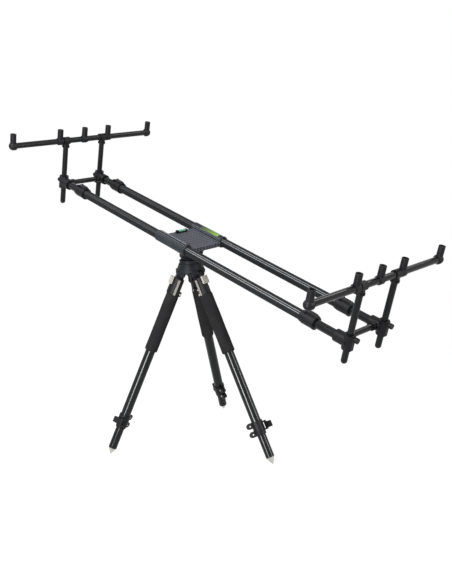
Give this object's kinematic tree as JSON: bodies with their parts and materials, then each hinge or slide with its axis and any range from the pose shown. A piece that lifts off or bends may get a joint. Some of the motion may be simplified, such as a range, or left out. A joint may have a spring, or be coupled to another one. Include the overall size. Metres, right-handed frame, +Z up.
{
  "type": "rod pod",
  "caption": "Tripod rod pod: a pan and tilt head carries two telescopic rails with a height-adjustable bar of threaded rod-rest sockets at each end.",
  "frame": {"origin": "on the ground under the turning axis of the head", "axes": "+Z up along the turning axis, +X along the rails to the end that tips down, +Y across the rails to the far side"},
  "size_m": [1.1773, 0.5248, 0.9206],
  "materials": {
    "anodised_tube": "black anodised, satin",
    "cast_black": "die-cast, matt black",
    "moulded_black": "glass-filled nylon, fine texture",
    "plate_slate": "fine-lined dark slate",
    "black_steel": "black oxide",
    "bright_steel": "turned steel",
    "tab_grey": "cast, bead-blasted",
    "foam": "closed-cell foam",
    "level_vial": "clear vial with green liquid"
  },
  "bodies": {
    "crown": {"tripod_crown": "cast_black", "leg_pivot_bolts": "black_steel"},
    "pan_head": {"pan_head": "cast_black", "tilt_bolt": "black_steel"},
    "pan_lock": {"pan_lock_knob": "moulded_black"},
    "tilt_lock": {"tilt_lock_knob": "moulded_black"},
    "platform": {"tilt_cradle": "cast_black", "platform_plate": "plate_slate", "rail_channels": "cast_black", "level_holder": "moulded_black", "level_vial": "level_vial"},
    "rails": {"near_rail": "anodised_tube", "far_rail": "anodised_tube", "rail_collars": "moulded_black"},
    "rear_frame": {"rear_extension_tubes": "anodised_tube", "rear_end_blocks": "moulded_black", "rear_tie_bar": "anodised_tube"},
    "rear_goalpost": {"rear_uprights": "anodised_tube", "rear_bar": "anodised_tube", "rear_bar_tees": "moulded_black", "rear_rod_sockets": "moulded_black"},
    "rear_near_thumb": {"rear_near_thumb_screw": "moulded_black"},
    "rear_near_cam": {"rear_near_lever": "moulded_black"},
    "rear_far_thumb": {"rear_far_thumb_screw": "moulded_black"},
    "rear_far_cam": {"rear_far_lever": "moulded_black"},
    "front_frame": {"front_extension_tubes": "anodised_tube", "front_end_blocks": "moulded_black", "front_tie_bar": "anodised_tube"},
    "front_goalpost": {"front_uprights": "anodised_tube", "front_bar": "anodised_tube", "front_bar_tees": "moulded_black", "front_rod_sockets": "moulded_black"},
    "front_near_thumb": {"front_near_thumb_screw": "moulded_black"},
    "front_near_cam": {"front_near_lever": "moulded_black"},
    "front_far_thumb": {"front_far_thumb_screw": "moulded_black"},
    "front_far_cam": {"front_far_lever": "moulded_black"},
    "back_leg": {"back_leg_shoulder": "cast_black", "back_leg_tube": "anodised_tube", "back_foam_grip": "foam", "back_leg_clamp": "moulded_black"},
    "back_lower": {"back_lower_leg": "anodised_tube", "back_foot_spike": "bright_steel"},
    "back_lever": {"back_clamp_lever": "moulded_black"},
    "back_tab": {"back_angle_tab": "tab_grey"},
    "left_leg": {"left_leg_shoulder": "cast_black", "left_leg_tube": "anodised_tube", "left_foam_grip": "foam", "left_leg_clamp": "moulded_black"},
    "left_lower": {"left_lower_leg": "anodised_tube", "left_foot_spike": "bright_steel"},
    "left_lever": {"left_clamp_lever": "moulded_black"},
    "left_tab": {"left_angle_tab": "tab_grey"},
    "right_leg": {"right_leg_shoulder": "cast_black", "right_leg_tube": "anodised_tube", "right_foam_grip": "foam", "right_leg_clamp": "moulded_black"},
    "right_lower": {"right_lower_leg": "anodised_tube", "right_foot_spike": "bright_steel"},
    "right_lever": {"right_clamp_lever": "moulded_black"},
    "right_tab": {"right_angle_tab": "tab_grey"}
  },
  "joints": [
    {"name": "pan", "type": "hinge", "parent": "crown", "child": "pan_head", "pos_m": [0, 0, 0.536], "axis": [0, 0, 1], "continuous": true},
    {"name": "pan_lock_turn", "type": "hinge", "parent": "pan_head", "child": "pan_lock", "pos_m": [0, 0, 0.495], "axis": [0, 0, 1], "continuous": true},
    {"name": "tilt", "type": "hinge", "parent": "pan_head", "child": "platform", "pos_m": [0, 0, 0.5626], "axis": [0, 1, 0], "range_deg": [-45, 20]},
    {"name": "tilt_lock_turn", "type": "hinge", "parent": "pan_head", "child": "tilt_lock", "pos_m": [0, 0.033, 0.5626], "axis": [0, 1, 0], "continuous": true},
    {"name": "rail_slide", "type": "slide", "parent": "platform", "child": "rails", "axis": [0.9573, 0, -0.289], "range_m": [-0.1, 0.1]},
    {"name": "rear_extend", "type": "slide", "parent": "rails", "child": "rear_frame", "axis": [-0.9573, 0, 0.289], "range_m": [-0.03, 0.15]},
    {"name": "rear_bar_height", "type": "slide", "parent": "rear_frame", "child": "rear_goalpost", "axis": [0.289, 0, 0.9573], "range_m": [-0.08, 0.05]},
    {"name": "rear_near_thumb_turn", "type": "hinge", "parent": "rear_frame", "child": "rear_near_thumb", "pos_m": [-0.51065, -0.0675, 0.76378], "axis": [-0.9573, 0, 0.289], "continuous": true},
    {"name": "rear_near_cam_open", "type": "hinge", "parent": "rails", "child": "rear_near_cam", "pos_m": [-0.40323, -0.0675, 0.74937], "axis": [0, -1, 0], "range_deg": [0, 115]},
    {"name": "rear_far_thumb_turn", "type": "hinge", "parent": "rear_frame", "child": "rear_far_thumb", "pos_m": [-0.51065, 0.0675, 0.76378], "axis": [-0.9573, 0, 0.289], "continuous": true},
    {"name": "rear_far_cam_open", "type": "hinge", "parent": "rails", "child": "rear_far_cam", "pos_m": [-0.40323, 0.0675, 0.74937], "axis": [0, -1, 0], "range_deg": [0, 115]},
    {"name": "front_extend", "type": "slide", "parent": "rails", "child": "front_frame", "axis": [0.9573, 0, -0.289], "range_m": [-0.055, 0.15]},
    {"name": "front_bar_height", "type": "slide", "parent": "front_frame", "child": "front_goalpost", "axis": [0.289, 0, 0.9573], "range_m": [-0.09, 0.035]},
    {"name": "front_near_thumb_turn", "type": "hinge", "parent": "front_frame", "child": "front_near_thumb", "pos_m": [0.62246, -0.0675, 0.43421], "axis": [0.9573, 0, -0.289], "continuous": true},
    {"name": "front_near_cam_open", "type": "hinge", "parent": "rails", "child": "front_near_cam", "pos_m": [0.47942, -0.0675, 0.48288], "axis": [0, -1, 0], "range_deg": [0, 115]},
    {"name": "front_far_thumb_turn", "type": "hinge", "parent": "front_frame", "child": "front_far_thumb", "pos_m": [0.62246, 0.0675, 0.43421], "axis": [0.9573, 0, -0.289], "continuous": true},
    {"name": "front_far_cam_open", "type": "hinge", "parent": "rails", "child": "front_far_cam", "pos_m": [0.47942, 0.0675, 0.48288], "axis": [0, -1, 0], "range_deg": [0, 115]},
    {"name": "back_leg_fold", "type": "hinge", "parent": "crown", "child": "back_leg", "pos_m": [-0.0145, 0.02511, 0.507], "axis": [0.866, 0.5, 0], "range_deg": [-17.4, 0]},
    {"name": "back_leg_extend", "type": "slide", "parent": "back_leg", "child": "back_lower", "axis": [-0.1824, 0.316, -0.9311], "range_m": [-0.04, 0.15]},
    {"name": "back_lever_open", "type": "hinge", "parent": "back_leg", "child": "back_lever", "pos_m": [-0.1206, 0.16676, 0.08288], "axis": [0.1824, -0.316, 0.9311], "range_deg": [0, 100]},
    {"name": "back_tab_pull", "type": "slide", "parent": "back_leg", "child": "back_tab", "axis": [-0.1824, 0.316, -0.9311], "range_m": [0, 0.006], "stiffness_N_per_m": 300},
    {"name": "left_leg_fold", "type": "hinge", "parent": "crown", "child": "left_leg", "pos_m": [-0.0145, -0.02511, 0.507], "axis": [-0.866, 0.5, 0], "range_deg": [-22.3, 0]},
    {"name": "left_leg_extend", "type": "slide", "parent": "left_leg", "child": "left_lower", "axis": [-0.2215, -0.3837, -0.8965], "range_m": [-0.06, 0.15]},
    {"name": "left_lever_open", "type": "hinge", "parent": "left_leg", "child": "left_lever", "pos_m": [-0.10191, -0.21864, 0.09944], "axis": [0.2215, 0.3837, 0.8965], "range_deg": [0, 100]},
    {"name": "left_tab_pull", "type": "slide", "parent": "left_leg", "child": "left_tab", "axis": [-0.2215, -0.3837, -0.8965], "range_m": [0, 0.006], "stiffness_N_per_m": 300},
    {"name": "right_leg_fold", "type": "hinge", "parent": "crown", "child": "right_leg", "pos_m": [0.029, 0, 0.507], "axis": [0, -1, 0], "range_deg": [-22.3, 0]},
    {"name": "right_leg_extend", "type": "slide", "parent": "right_leg", "child": "right_lower", "axis": [0.4431, 0, -0.8965], "range_m": [-0.06, 0.15]},
    {"name": "right_lever_open", "type": "hinge", "parent": "right_leg", "child": "right_lever", "pos_m": [0.24031, 0.02106, 0.09944], "axis": [-0.4431, 0, 0.8965], "range_deg": [-35, 65]},
    {"name": "right_tab_pull", "type": "slide", "parent": "right_leg", "child": "right_tab", "axis": [0.4431, 0, -0.8965], "range_m": [0, 0.006], "stiffness_N_per_m": 300}
  ]
}
